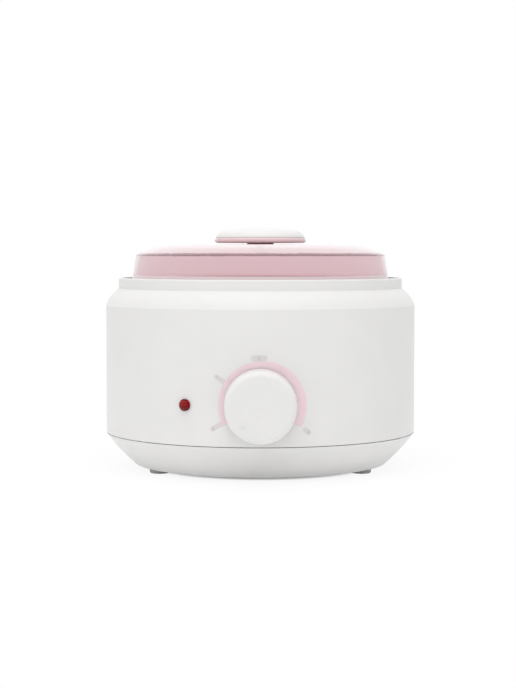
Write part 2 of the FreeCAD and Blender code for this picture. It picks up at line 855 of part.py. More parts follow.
def strap(label, radius, front, middle):
    """A U-shaped strap that hangs from the chamber floor round a rod that runs front to back."""
    piece = new_body(label)
    near = radius + d.clip_clearance
    far = near + d.clip_wall
    low = chamber_bottom_z - radius * 2 - d.clip_clearance * 2
    foot = chamber_bottom_z - d.clip_wall
    extrude(piece, outline(sketch_on(piece, "XZ_Plane", front), [
        (middle - far - d.clip_foot, foot),
        (middle - far, foot),
        (middle - far, low - d.clip_wall),
        (middle + far, low - d.clip_wall),
        (middle + far, foot),
        (middle + far + d.clip_foot, foot),
        (middle + far + d.clip_foot, chamber_bottom_z),
        (middle + near, chamber_bottom_z),
        (middle + near, low),
        (middle - near, low),
        (middle - near, chamber_bottom_z),
        (middle - far - d.clip_foot, chamber_bottom_z),
    ]), d.clip_length, both=True)


strap("bulb_clip", d.bulb_radius, bulb_front - d.bulb_length / 2, ZERO)
band_y = root(chamber_radius * chamber_radius - d.lead_spot * d.lead_spot)
band_y = band_y + d.lead_radius + d.lead_stand_off
fuse_start = band_y - d.lead_bend - d.fuse_lead - d.fuse_length
fuse = new_body("thermal_fuse")
fuse_z = chamber_bottom_z - d.fuse_radius - d.clip_clearance
extrude(fuse, circles(
    sketch_on(fuse, "XZ_Plane", -fuse_start), [(d.lead_spot, fuse_z)], d.fuse_radius),
    d.fuse_length, back=True)
strap("fuse_clip", d.fuse_radius, -(fuse_start + d.fuse_length / 2), d.lead_spot)

knob_floor = knob_front - d.knob_face
bore_end = knob_floor - d.shaft_end_gap
knob_boss_end = pad_y + d.bush_length + d.knob_gap
knob = new_body("control_knob")
revolve(knob, outline(sketch_on(knob, "XY_Plane", knob_z), [
    (0, -knob_front),
    (d.knob_radius - d.knob_draft - d.knob_edge, -knob_front, (d.knob_edge, RIGHT)),
    (d.knob_radius - d.knob_draft, -knob_front + d.knob_edge),
    (d.knob_radius, -knob_back),
    (d.knob_radius - d.knob_wall, -knob_back),
    (d.knob_radius - d.knob_wall - d.knob_draft, -knob_floor),
    (d.knob_boss, -knob_floor),
    (d.knob_boss, -knob_boss_end),
    (0, -knob_boss_end),
]))
for turn in (0, 90):
    for side in (1, -1):
        spread = box_points(d.knob_boss - d.knob_rib / 2, d.knob_radius - d.knob_wall,
                            -d.knob_rib / 2, d.knob_rib / 2)
        spots = [(x * side, z) for x, z in spread] if turn == 0 else [(z, x * side) for x, z in spread]
        extrude(knob, outline(
            sketch_on(knob, "XZ_Plane", knob_boss_end + d.knob_rib_drop, up=knob_z), spots),
            knob_floor - knob_boss_end - d.knob_rib_drop + d.knob_face / 4)
spring_flat = d.shaft_flat + d.spring_wall + d.spring_clearance * 2
bore = d.shaft_radius + d.shaft_clearance
half_chord = root(bore * bore - spring_flat * spring_flat)
cut(knob, outline(sketch_on(knob, "XZ_Plane", knob_boss_end, up=knob_z), [
    (half_chord, spring_flat),
    (-half_chord, spring_flat, (bore, RIGHT)),
    (0, -bore, (bore, RIGHT)),
]), bore_end - knob_boss_end, back=True)
cut(knob, circles(
    sketch_on(knob, "XZ_Plane", knob_front, up=knob_z),
    [(d.pointer_spot * cosine(d.pointer_angle), d.pointer_spot * sine(d.pointer_angle))],
    d.pointer_radius), d.pointer_depth)

spring = new_body("knob_spring_clip")
spring_low = d.shaft_flat + d.spring_clearance
extrude(spring, outline(
    sketch_on(spring, "XZ_Plane", knob_boss_end, up=knob_z),
    box_points(-d.spring_width / 2, d.spring_width / 2, spring_low, spring_low + d.spring_wall)),
    bore_end - knob_boss_end - d.shaft_end_gap)

shaft = new_body("thermostat_shaft")
shaft_tip = bore_end - d.shaft_end_gap
extrude(shaft, circles(
    sketch_on(shaft, "XZ_Plane", shaft_start + d.shaft_end_gap, up=knob_z), [(0, 0)], d.shaft_radius),
    shaft_tip - shaft_start - d.shaft_end_gap)
cut(shaft, outline(
    sketch_on(shaft, "XZ_Plane", shaft_tip, up=knob_z),
    box_points(-d.shaft_radius, d.shaft_radius, d.shaft_flat, d.shaft_radius + d.shaft_flat)),
    shaft_tip - knob_boss_end)


# Indicator lens, lamp and push-on retainer

lens = new_body("indicator_lens")
lens_seat = d.body_radius + d.lens_seat_gap
lens_step = lens_seat + d.lens_rim
lens_back = lens_step - d.lens_length
dome_reach = d.lens_radius - d.lens_rim_step
dome_radius = (dome_reach * dome_reach / d.lens_dome + d.lens_dome) / 2
revolve(lens, outline(sketch_on(lens, "XY_Plane", lamp_z), [
    (0, -(lens_step + d.lens_dome), (dome_radius, RIGHT)),
    (dome_reach, -lens_step),
    (d.lens_radius, -lens_step),
    (d.lens_radius, -lens_seat),
    (d.lens_body, -lens_seat),
    (d.lens_body, -lens_back),
    (d.lens_body - d.lens_wall, -lens_back),
    (d.lens_body - d.lens_wall, -(lens_step - d.lens_crown)),
    (0, -(lens_step - d.lens_crown)),
]))
swing(lens, d.lamp_angle)
lamp = new_body("indicator_lamp")
lamp_tip = lens_step - d.lens_crown - d.lamp_gap
extrude(lamp, circles(
    sketch_on(lamp, "XZ_Plane", lamp_tip, up=lamp_z), [(0, 0)], d.lamp_radius), d.lamp_length, back=True)
swing(lamp, d.lamp_angle)
retainer = new_body("lens_retainer")
retainer_front = inner_radius - d.retainer_gap
extrude(retainer, circles(
    sketch_on(retainer, "XZ_Plane", retainer_front, up=lamp_z), [(0, 0)], d.retainer_radius),
    d.retainer_wall, back=True)
cut(retainer, circles(
    sketch_on(retainer, "XZ_Plane", retainer_front, up=lamp_z), [(0, 0)],
    d.lens_body + d.pilot_clearance), d.retainer_wall)
swing(retainer, d.lamp_angle)


# Supply entry: gland, its nut and the terminal block

gland = new_body("cord_gland")
gland_end = gland_face_y - d.gland_sleeve_length
revolve(gland, outline(sketch_on(gland, "XY_Plane", gland_z), [
    (d.gland_bore, gland_end),
    (d.gland_sleeve, gland_end),
    (d.gland_sleeve, gland_face_y),
    (d.gland_flange, gland_face_y),
    (d.gland_flange, gland_face_y + d.gland_flange_wall / 2),
    (d.gland_flange - d.gland_flange_wall / 2, gland_face_y + d.gland_flange_wall),
    (d.gland_bore, gland_face_y + d.gland_flange_wall),
]))
gland_nut = new_body("gland_nut")
extrude(gland_nut, outline(
    sketch_on(gland_nut, "XZ_Plane", -gland_pad_y, up=gland_z), polygon_points(d.gland_nut_flats)),
    d.gland_nut_wall)
cut(gland_nut, circles(
    sketch_on(gland_nut, "XZ_Plane", -gland_pad_y, up=gland_z), [(0, 0)],
    d.gland_sleeve + d.pilot_clearance), d.gland_nut_wall, back=True)

block = new_body("terminal_block")
block_top = block_z + d.block_height
extrude(block, outline(
    sketch_on(block, "XY_Plane", block_z),
    box_points(-d.block_width / 2, d.block_width / 2, pad_low, pad_high)), d.block_height)
wire_z = block_z + d.block_height / 2
poles = [-d.lead_spot, d.lead_spot]
cut(block, circles(
    sketch_on(block, "XZ_Plane", -pad_low), [(pole, wire_z) for pole in poles], d.block_wire_bore),
    d.block_depth)
cut(block, circles(
    sketch_on(block, "XY_Plane", block_top), [(pole, d.block_spot) for pole in poles],
    d.block_screw_radius + d.pilot_clearance), d.block_height / 2)
cut(block, circles(
    sketch_on(block, "XY_Plane", block_top), [(0, d.block_spot)],
    d.block_fixing_radius + d.screw_clearance), d.block_height)
cut(block, circles(
    sketch_on(block, "XY_Plane", block_top), [(0, d.block_spot)],
    d.block_fixing_head + d.screw_clearance), d.block_fixing_drop)
pole_screws = []
for pole, name in zip(poles, ("left", "right")):
    screw = new_body(f"terminal_screw_{name}", keep=False)
    extrude(screw, circles(
        sketch_on(screw, "XY_Plane", block_top - d.block_screw_slack), [(pole, d.block_spot)],
        d.block_screw_radius), d.block_screw_length, back=True)
    pole_screws.append(screw)
group("terminal_screws", pole_screws)
fixing = new_body("block_screw")
head_low = block_top - d.block_fixing_drop
revolve(fixing, outline(sketch_on(fixing, "XZ_Plane", -d.block_spot), [
    (0, block_z - d.block_fixing_grip),
    (d.block_fixing_radius, block_z - d.block_fixing_grip),
    (d.block_fixing_radius, head_low),
    (d.block_fixing_head, head_low),
    (d.block_fixing_head, head_low + d.bracket_screw_head_height),
    (0, head_low + d.bracket_screw_head_height),
]))


# Leads between the terminal block, thermostat, fuse and heater, each in one upright plane

def lead(label, side, points, upright=False):
    """A wire along driven points (y, z) in the plane of one pole; upright ones start downwards."""
    piece = new_body(label)
    spot = d.lead_spot * side
    route = outline(sketch_on(piece, "YZ_Plane", spot), points, closed=False)
    start_y, start_z = points[0][:2]
    if upright:
        ring = circles(sketch_on(piece, "XY_Plane", start_z), [(spot, start_y)], d.lead_radius)
    else:
        ring = circles(sketch_on(piece, "XZ_Plane", -start_y), [(spot, start_z)], d.lead_radius)
    pipe = piece.newObject("PartDesign::AdditivePipe", f"{label}_pipe")
    pipe.Profile = ring
    pipe.Spine = route
    doc.recompute()


tab_y = -(pad_y - d.stat_depth / 2)
tab_low = knob_z - d.stat_height / 2 - d.tab_length - d.lead_tab_gap
rise = tab_low - wire_z
block_y = pad_low + d.lead_entry
lead("lead_supply", -1, [
    (block_y, wire_z),
    (tab_y + rise, wire_z, (rise, LEFT)),
    (tab_y, tab_low),
])
lead("lead_neutral", 1, [
    (block_y, wire_z),
    (fuse_start, wire_z, (d.lead_bend, LEFT)),
    (fuse_start - d.lead_bend, wire_z + d.lead_bend),
    (fuse_start - d.lead_bend, fuse_z - d.lead_bend, (d.lead_bend, LEFT)),
    (fuse_start, fuse_z),
])
lead("lead_heater_neutral", 1, [
    (band_y, band_low),
    (band_y, fuse_z + d.lead_bend, (d.lead_bend, LEFT)),
    (band_y - d.lead_bend, fuse_z),
    (fuse_start + d.fuse_length, fuse_z),
], upright=True)
loop = (-tab_y - band_y) / 2
lead("lead_heater_live", 1, [
    (-band_y, band_low),
    (-band_y, tab_low, (loop, LEFT)),
    (-band_y - loop, tab_low - loop, (loop, LEFT)),
    (tab_y, tab_low),
], upright=True)


# Lift-out pot with its brim, lugs and bail

pot_outer = pot_radius + d.pot_wall
pot_bottom = chamber_floor_z + d.floor_gap
pot_inside = pot_bottom + d.pot_floor
bead_outer = lid_lip_radius - d.lid_wall - d.bead_clearance
turned("inner_pot", [
    (0, pot_bottom),
    (pot_outer - d.pot_draft - d.pot_corner, pot_bottom, (d.pot_corner, RIGHT)),
    (pot_outer - d.pot_draft, pot_bottom + d.pot_corner),
    (pot_outer, flange_top - d.brim_corner, (d.brim_corner, LEFT)),
    (pot_outer + d.brim_corner, flange_top),
    (brim_radius, flange_top),
    (brim_radius, brim_top),
    (bead_outer, brim_top),
    (bead_outer, brim_top + d.bead_height),
    (bead_outer - d.bead_width, brim_top + d.bead_height),
    (bead_outer - d.bead_width, brim_top),
    (pot_outer + d.brim_corner, brim_top, (d.brim_corner + d.brim_thickness, RIGHT)),
    (pot_radius, flange_top - d.brim_corner),
    (pot_radius - d.pot_draft, pot_inside + d.pot_corner, (d.pot_corner, LEFT)),
    (pot_radius - d.pot_draft - d.pot_corner, pot_inside),
    (0, pot_inside),
])

lug_face = brim_radius - d.lug_inset
for side, angle in (("right", 0), ("left", 180)):
    lug = new_body(f"bail_lug_{side}")
    extrude(lug, outline(sketch_on(lug, "YZ_Plane", lug_face - d.lug_wall), [
        (-d.lug_radius, brim_top),
        (d.lug_radius, brim_top),
        (d.lug_radius, pivot_z, (d.lug_radius, RIGHT)),
        (0, pivot_z + d.lug_radius, (d.lug_radius, RIGHT)),
        (-d.lug_radius, pivot_z),
    ]), d.lug_wall)
    cut(lug, circles(
        sketch_on(lug, "YZ_Plane", lug_face - d.lug_wall), [(0, pivot_z)],
        d.bail_wire + d.pin_clearance), d.lug_wall, back=True)
    swing(lug, as_size(angle))

bail = new_body("bail_handle")
bend_x = root(bail_radius * bail_radius + bail_radius * d.bail_bend * 2)
share = bail_radius / (bail_radius + d.bail_bend)
pin_tip = lug_face + d.pin_overhang
path = outline(sketch_on(bail, "XY_Plane", pivot_z), [
    (pin_tip, 0),
    (bend_x, 0, (d.bail_bend, LEFT)),
    (bend_x * share, d.bail_bend * share, (bail_radius, RIGHT)),
    (0, bail_radius, (bail_radius, RIGHT)),
    (-bend_x * share, d.bail_bend * share, (d.bail_bend, LEFT)),
    (-bend_x, 0),
    (-pin_tip, 0),
], closed=False)
wire = circles(sketch_on(bail, "YZ_Plane", pin_tip, up=pivot_z), [(0, 0)], d.bail_wire)
sweep = bail.newObject("PartDesign::AdditivePipe", "bail_sweep")
sweep.Profile = wire
sweep.Spine = path
doc.recompute()


# Lid, its grip and the cap on the grip

lid_rest = brim_top
lid_step = lid_rest + d.lid_lip_height
lid_edge = lid_step + d.lid_edge_height
crown_z = lid_edge + d.lid_crown_rise
pad_z = crown_z + d.lid_pad_rise
lid_edge_radius = lid_skirt_radius - d.lid_draft
lid_crown_radius = lid_edge_radius - d.lid_crown_run
lip_bore = lid_lip_radius - d.lid_wall
screw_bore = d.lid_screw_radius + d.screw_clearance
turned("lid_shell", [
    (lip_bore, lid_rest),
    (lid_lip_radius, lid_rest),
    (lid_lip_radius, lid_step),
    (lid_skirt_radius, lid_step),
    (lid_edge_radius, lid_edge, (d.lid_curve, RIGHT)),
    (lid_crown_radius, crown_z),
    (d.lid_pad_radius, pad_z),
    (screw_bore, pad_z),
    (screw_bore, pad_z - d.lid_wall),
    (d.lid_pad_radius, pad_z - d.lid_wall),
    (lid_crown_radius, crown_z - d.lid_wall, (d.lid_curve - d.lid_wall, LEFT)),
    (lid_edge_radius - d.lid_wall, lid_edge - d.lid_wall / 2),
    (lid_skirt_radius - d.lid_wall, lid_step + d.lid_wall),
    (lip_bore, lid_step),
])
neck_top = pad_z + d.neck_height
grip_top = neck_top + d.grip_height
boss_top = grip_top + d.lid_screw_grip / 2
grip_radius = d.cap_radius + d.grip_overhang
spigot_radius = d.cap_radius - d.spigot_inset
cap_shoulder = d.cap_radius - d.cap_shoulder_run
turned("lid_knob", [
    (0, pad_z + d.lid_screw_grip + d.screw_clearance),
    (d.lid_screw_radius + d.pilot_clearance, pad_z + d.lid_screw_grip + d.screw_clearance),
    (d.lid_screw_radius + d.pilot_clearance, pad_z),
    (d.neck_radius, pad_z),
    (d.neck_radius, neck_top),
    (grip_radius - d.grip_round, neck_top, (d.grip_round, RIGHT)),
    (grip_radius, neck_top + d.grip_round),
    (grip_radius, grip_top - d.grip_round, (d.grip_round, RIGHT)),
    (grip_radius - d.grip_round, grip_top),
    (spigot_radius, grip_top),
    (spigot_radius, grip_top + d.spigot_height),
    (spigot_radius - d.cap_wall, grip_top + d.spigot_height),
    (spigot_radius - d.cap_wall, grip_top),
    (d.lid_screw_boss, grip_top),
    (d.lid_screw_boss, boss_top),
    (0, boss_top),
])
cap_top = grip_top + d.cap_height
cap_bore = spigot_radius + d.spigot_clearance
cap_crown = (cap_shoulder * cap_shoulder / d.cap_shoulder_drop + d.cap_shoulder_drop) / 2
turned("lid_knob_cap", [
    (cap_bore, grip_top),
    (d.cap_radius, grip_top),
    (d.cap_radius, grip_top + d.cap_side, (d.cap_shoulder_curve, RIGHT)),
    (cap_shoulder, cap_top - d.cap_shoulder_drop, (cap_crown, RIGHT)),
    (0, cap_top),
    (0, cap_top - d.cap_wall),
    (cap_shoulder - d.cap_wall, cap_top - d.cap_shoulder_drop - d.cap_wall),
    (cap_bore, grip_top + d.spigot_height + d.spigot_clearance),
])
washer_low = pad_z - d.lid_wall - d.washer_thickness
turned("lid_screw_washer", box_points(
    screw_bore, d.washer_radius, washer_low, pad_z - d.lid_wall))
lid_screw = turned("lid_knob_screw", [
    (0, washer_low - d.lid_screw_head_height),
    (d.lid_screw_head, washer_low - d.lid_screw_head_height),
    (d.lid_screw_head, washer_low),
    (d.lid_screw_radius, washer_low),
    (d.lid_screw_radius, pad_z + d.lid_screw_grip),
    (0, pad_z + d.lid_screw_grip),
])
cross_recess(lid_screw, washer_low - d.lid_screw_head_height)


# Check every object and write one file per node

doc.recompute()
for item in doc.Objects:
    if "Invalid" in item.State or "Error" in item.State:
        raise RuntimeError(f"{item.Label} did not build")
os.makedirs("parts", exist_ok=True)
for label, item in nodes.items():
    shape = item.Shape
    if shape.isNull() or not shape.isValid() or not shape.Solids:
        raise RuntimeError(f"{label} has no valid solid")
    shape.exportStep(f"parts/{label}.step")
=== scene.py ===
import math

import bpy
import numpy as np
from bpy.props import FloatProperty, FloatVectorProperty, PointerProperty
from bpy.types import Operator, Panel, PropertyGroup
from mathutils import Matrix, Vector


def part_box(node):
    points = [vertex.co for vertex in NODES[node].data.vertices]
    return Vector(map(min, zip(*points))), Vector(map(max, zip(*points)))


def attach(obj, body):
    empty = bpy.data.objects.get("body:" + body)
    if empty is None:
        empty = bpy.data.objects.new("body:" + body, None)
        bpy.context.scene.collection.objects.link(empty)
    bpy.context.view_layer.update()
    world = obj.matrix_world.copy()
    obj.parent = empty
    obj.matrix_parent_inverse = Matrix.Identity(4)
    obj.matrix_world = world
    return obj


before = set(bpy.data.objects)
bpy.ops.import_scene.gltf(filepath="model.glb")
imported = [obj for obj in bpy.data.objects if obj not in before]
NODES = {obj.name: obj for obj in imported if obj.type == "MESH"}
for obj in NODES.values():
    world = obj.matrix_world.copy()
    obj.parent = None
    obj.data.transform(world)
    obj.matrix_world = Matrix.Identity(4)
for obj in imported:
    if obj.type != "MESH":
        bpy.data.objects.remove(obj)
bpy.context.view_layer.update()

bl_info = {
    "name": "Wax heater finishes",
    "version": (1, 0, 0),
    "blender": (4, 5, 0),
    "location": "View3D > Sidebar > Wax heater",
    "description": "Gives a packed wax heater its finishes, its dial print and a small studio",
    "category": "Object",
}

MM = 0.001
WHITE = (1, 1, 1, 1)

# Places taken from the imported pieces
WALL_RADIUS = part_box("upper_housing")[1].x
KNOB_LOW, KNOB_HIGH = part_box("control_knob")
KNOB_CENTRE = (KNOB_LOW + KNOB_HIGH) / 2
LID_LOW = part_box("lid_shell")[0]
LENS_LOW, LENS_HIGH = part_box("indicator_lens")
LENS_HEIGHT = (LENS_LOW.z + LENS_HIGH.z) / 2

# Noise values lie mostly between these two
NOISE_LOW = 0.3
NOISE_HIGH = 0.7

# Least and most roughness of a skin, as shares of its own roughness
SATIN = (0.88, 1.12)
TURNED = (0.8, 1.25)
PLATED = (0.8, 1.3)
HAZY = (0.6, 1.6)
GLASSY = (0.8, 1.2)

# Noise scales per metre: skins of the lid and the lens, and the wavering painted shade line of the lid's
# corner
LID_GRAIN = 900.0
LID_RIPPLE = 45.0
LENS_GRAIN = 1200.0
LENS_RIPPLE = 330.0
WAVER_SCALE = 330.0

# The lid's plastic: its refractive index, where the slant law ends, half the height over which the frosted
# rim ends, and the share of the corner's band of painted shade that is darkest
CLEAR_IOR = 1.49
SLANT_REACH = 1.03
RIM_FADE = 0.25 * MM
EDGE_SHADE_CORE = 0.5

# Each mark round the knob: its middle across and up, its turn in degrees, its length and width, and the
# place of its number; lengths in mm from the knob's axis
DIAL_MARKS = (
    ((-23.7, -11.8), 31, (9.0, 2.7), (-26.0, -13.2)),
    ((-22.2, 14.0), -34, (7.8, 2.6), (-24.0, 15.3)),
    ((-0.8, 25.8), 0, (9.2, 3.4), (-0.8, 25.8)),
    ((25.6, -14.6), -40, (5.2, 2.8), (26.2, -15.1)),
)
# Ink of the marks and of the numbers as shares of the crescent's film, so that they lie under and over it
MARK_FILM = 0.7
NUMBER_FILM = 1.4
# Height of a figure as a share of its type's size
CAP_SHARE = 0.69

# The table: radii of its rings in metres, and points round each
FLOOR_RINGS = (0.0, 0.3, 1.0, 4.0, 12.0)
FLOOR_TURNS = 97


# Settings that a user may change

def colour(label, words, value):
    return FloatVectorProperty(
        name=label, description=words, subtype="COLOR", size=3, min=0, max=1, default=value)


def share(label, words, value):
    return FloatProperty(name=label, description=words, subtype="FACTOR", min=0, max=1, default=value)


def length(label, words, value):
    return FloatProperty(name=label, description=words, unit="LENGTH", subtype="DISTANCE", default=value)


def angle(label, words, degrees):
    return FloatProperty(
        name=label, description=words, unit="ROTATION", subtype="ANGLE", default=math.radians(degrees))


def amount(label, words, value, unit="NONE"):
    return FloatProperty(name=label, description=words, unit=unit, default=value)


def point(label, words, value):
    return FloatVectorProperty(
        name=label, description=words, unit="LENGTH", subtype="TRANSLATION", size=3, default=value)


class ShellFinish(PropertyGroup):
    colour: colour("White", "Moulded white of the two shells", (0.82, 0.815, 0.805))
    knob_colour: colour("Knob white", "Moulded white of the control knob", (0.815, 0.81, 0.80))
    cap_colour: colour("Cap white", "Moulded white of the lid's cap", (0.83, 0.825, 0.817))
    # The feet's grey is painted paler than dark rubber, painted light that lifts the shade under the base.
    foot_colour: colour("Foot grey", "Rubber of the three feet", (0.50, 0.50, 0.505))
    roughness: share("Roughness", "Satin of the moulded skin", 0.34)
    knob_share: share("Knob gloss", "Roughness of knob and cap as a share of the shells'", 0.85)
    grain: length("Grain", "Size of the fine grain of the moulded skin", 0.7 * MM)
    ripple: length("Ripple", "Size of the slow waves left by moulding", 16 * MM)
    # The seam's stripe is painted light: a whiter plastic in the gap between the shells that lifts its
    # shade.
    seam_white: colour("Seam white", "White of the bare edges in the seam", (0.96, 0.955, 0.945))
    seam_low: length("Seam foot", "Height of the seam's lower edge over the table", 21.2 * MM)
    seam_high: length("Seam top", "Height of the seam's upper edge over the table", 21.9 * MM)


class LidFinish(PropertyGroup):
    tint: colour("Tint", "Pink of the plastic and of what shows through its wall", (0.897, 0.803, 0.82))
    # The corner's darker band is a deeper tint of the thicker plastic and, above all, painted shade of the
    # dark line at the corner; its wavering line is painted too.
    edge_tint: colour("Edge tint", "Tint of the solid corner between skirt and dome", (0.68, 0.56, 0.58))
    edge_height: length("Edge height", "Height of that corner over the lid's rim", 18.75 * MM)
    edge_width: length("Edge width", "Height of the dark corner", 2.0 * MM)
    edge_waver: length("Edge waver", "How far the corner's line wavers, as moulded edges do", 0.2 * MM)
    milk: share("Milkiness", "How much the wall hides of what is straight behind it", 0.20)
    dome_milk: share("Dome milkiness", "The same over the corner, on the dome", 0.31)
    rim_tint: colour("Rim tint", "Pink of the frosted rim that sits in the pot", (0.90, 0.765, 0.785))
    rim_milk: share("Rim milkiness", "How much that rim hides", 0.92)
    rim_height: length("Rim height", "Height of the frosted rim", 6.6 * MM)
    grip_colour: colour("Grip pink", "Pink of the disc under the cap", (0.86, 0.645, 0.665))
    roughness: share("Roughness", "Haze of the clear plastic", 0.06)


class LensFinish(PropertyGroup):
    core: colour("Red", "Deep red of the lens", (0.19, 0.0005, 0.002))
    # The two lighter red bands are painted highlights across the lens, not ribs inside it.
    rib: colour("Rib red", "Lighter red where the ribs inside catch the light", (0.36, 0.014, 0.015))
    foot: colour("Foot red", "Red of the lens's lower edge", (0.17, 0.012, 0.015))
    low_rib: length("Low rib", "Height of the lower rib over the lens's middle", 0.3 * MM)
    high_rib: length("High rib", "Height of the upper rib over the lens's middle", 1.8 * MM)
    rib_width: length("Rib width", "Height of each rib", 0.6 * MM)
    roughness: share("Roughness", "Polish of the lens", 0.10)


class DialPrint(PropertyGroup):
    pink: colour("Pink ink", "Ink of the crescent", (0.90, 0.705, 0.755))
    grey: colour("Grey ink", "Ink of the marks", (0.735, 0.695, 0.697))
    dark: colour("Dark ink", "Ink of the numbers", (0.54, 0.49, 0.495))
    film: length("Film", "Height of the ink over the wall", 0.06 * MM)
    inner: length("Inner radius", "Inner edge of the crescent", 20.3 * MM)
    outer: length("Outer radius", "Radius of the crescent's outer circle", 24.4 * MM)
    shift: length("Shift", "How far the outer circle's centre is from the knob's axis", 1.1 * MM)
    shift_angle: angle("Shift angle", "Direction of that shift, from the right, anticlockwise", -14)
    start: angle("Start", "Where the crescent starts", 210)
    stop: angle("Stop", "Where the crescent ends", -29)
    number: length("Number height", "Height of the numbers", 1.9 * MM)


class StudioSettings(PropertyGroup):
    lens: amount("Lens", "Focal length of the camera in mm", 84.84, "CAMERA")
    distance: length("Distance", "From the body's axis to the camera", 977 * MM)
    height: length("Height", "Height of the camera over the table", 128.3 * MM)
    aside: length("Aside", "Where the camera stands across the axis", -1.4 * MM)
    tilt: angle("Tilt", "How far the camera looks down", 3.212)
    horizon: amount("Horizon light", "Strength of the light from the sides", 0.60)
    zenith: amount("Sky light", "Strength of the light from straight above", 0.94)
    right_fall: share("Right fall", "How much less light comes from the right", 0.18)
    top_light: amount("Top light", "Power of the softbox above", 5.2, "POWER")
    top_size: length("Top size", "Width of that softbox", 1.1)
    top_place: point("Top place", "Where that softbox hangs", (0.0, -0.35, 1.25))
    front_light: amount("Front light", "Power of the softbox in front", 1.9, "POWER")
    front_size: length("Front size", "Width of that softbox", 1.2)
    front_place: point("Front place", "Where that softbox stands", (-0.3, -1.4, 1.0))
    aim: point("Aim", "Point of the heater that both softboxes are turned to", (0.0, 0.0, 0.07))
    floor_white: colour("Floor white", "Colour of the table", (0.96, 0.96, 0.96))
    near_white: share("Shadow softening", "How far the table's own white hides the shadow", 0.90)
    near_radius: length("Shadow start", "Where the shadow starts to fade, from the axis", 110 * MM)
    far_radius: length("Shadow end", "Where no shadow is left", 450 * MM)
    under_white: share("Contact softening", "How far the white hides the shadow under the heater", 0.25)
    under_radius: length("Contact start", "Where that darker shadow starts to fade", 58 * MM)
    edge_radius: length("Contact end", "Where that darker shadow ends", 70 * MM)


# Shader node helpers

def new_group(name, inputs, outputs):
    """An empty shader group with float or vector inputs {name: default} and named outputs."""
    group = bpy.data.node_groups.new(name, "ShaderNodeTree")
    for label, value in inputs.items():
        kind = "NodeSocketVector" if value is None else "NodeSocketFloat"
        socket = group.interface.new_socket(label, in_out="INPUT", socket_type=kind)
        if value is not None:
            socket.default_value = value
    for label in outputs:
        group.interface.new_socket(label, in_out="OUTPUT", socket_type="NodeSocketFloat")
    return group, group.nodes.new("NodeGroupInput").outputs, group.nodes.new("NodeGroupOutput").inputs


def put(tree, kind, inputs=None, **settings):
    """Add a node, set its properties, and link or set its inputs."""
    node = tree.nodes.new(kind)
    for name, value in settings.items():
        setattr(node, name, value)
    for name, value in (inputs or {}).items():
        if isinstance(value, bpy.types.NodeSocket):
            tree.links.new(value, node.inputs[name])
        else:
            node.inputs[name].default_value = value
    return node


def maths(tree, operation, first, second=0.0):
    """Result of one sum, of sockets or numbers."""
    return put(tree, "ShaderNodeMath", {0: first, 1: second}, operation=operation).outputs[0]


def weighed(tree, first, second, weight):
    """First times the weight plus second times the rest."""
    return maths(tree, "ADD", maths(tree, "MULTIPLY", first, weight),
                 maths(tree, "MULTIPLY", second, 1 - weight))


def noise(tree, place, scale, detail=2.0, dimensions="3D"):
    """Noise value at a place, or along a single value where the dimensions are 1D."""
    socket = "W" if dimensions == "1D" else "Vector"
    inputs = {socket: place, "Scale": scale, "Detail": detail}
    return put(tree, "ShaderNodeTexNoise", inputs, noise_dimensions=dimensions).outputs[0]


def spread(tree, value, low, high):
    """Map a noise value around one half to the range from low to high."""
    inputs = {"Value": value, "From Min": NOISE_LOW, "From Max": NOISE_HIGH, "To Min": low, "To Max": high}
    return put(tree, "ShaderNodeMapRange", inputs).outputs[0]


def mixed_colours(tree, factor, first, second):
    """Colour between two, the second where the factor is one."""
    inputs = {"Factor": factor, "A": first, "B": second}
    return put(tree, "ShaderNodeMix", inputs, data_type="RGBA").outputs["Result"]


def mixed_shaders(tree, factor, first, second):
    """Shader between two, the second where the factor is one."""
    return put(tree, "ShaderNodeMixShader", {0: factor, 1: first, 2: second}).outputs[0]


def seen(tree):
    """One for rays that show the surround: to the eye, in reflections and through clear walls."""
    path = put(tree, "ShaderNodeLightPath").outputs
    direct = maths(tree, "MAXIMUM", path["Is Camera Ray"], path["Is Transmission Ray"])
    return maths(tree, "MAXIMUM", direct, path["Is Glossy Ray"])


# Shared surface effects

def moulded_skin(fine_height=0.12, fine_gloss=0.5):
    """Fine spark-eroded grain over slow ripples: height, gloss and tone all vary from 0 to 1."""
    group, given, out = new_group(
        "moulded skin", {"Place": None, "Grain": 1400.0, "Ripple": 60.0}, ("Height", "Gloss", "Tone"))
    fine = noise(group, given["Place"], given["Grain"], 2.0)
    slow = noise(group, given["Place"], given["Ripple"], 1.0)
    group.links.new(weighed(group, fine, slow, fine_height), out["Height"])
    group.links.new(weighed(group, fine, slow, fine_gloss), out["Gloss"])
    group.links.new(slow, out["Tone"])


def turned_rings(wide_share=0.12):
    """Rings of a spun or turned piece, from noise along radius plus height, so they go round it."""
    group, given, out = new_group("turned rings", {"Place": None, "Rings": 900.0}, ("Height", "Tone"))
    parts = put(group, "ShaderNodeSeparateXYZ", {0: given["Place"]}).outputs
    flat = put(group, "ShaderNodeCombineXYZ", {"X": parts["X"], "Y": parts["Y"]}).outputs[0]
    radius = put(group, "ShaderNodeVectorMath", {0: flat}, operation="LENGTH").outputs["Value"]
    along = maths(group, "ADD", radius, parts["Z"])
    group.links.new(noise(group, along, given["Rings"], 3.0, "1D"), out["Height"])
    wide = maths(group, "MULTIPLY", given["Rings"], wide_share)
    group.links.new(noise(group, along, wide, 2.0, "1D"), out["Tone"])


def plated_mottle(wide_share=0.3):
    """Cloudy patches of a plated or drawn metal skin."""
    group, given, out = new_group("plated mottle", {"Place": None, "Scale": 500.0}, ("Height", "Tone"))
    group.links.new(noise(group, given["Place"], given["Scale"], 4.0), out["Height"])
    wide = maths(group, "MULTIPLY", given["Scale"], wide_share)
    group.links.new(noise(group, given["Place"], wide, 2.0), out["Tone"])


# Materials

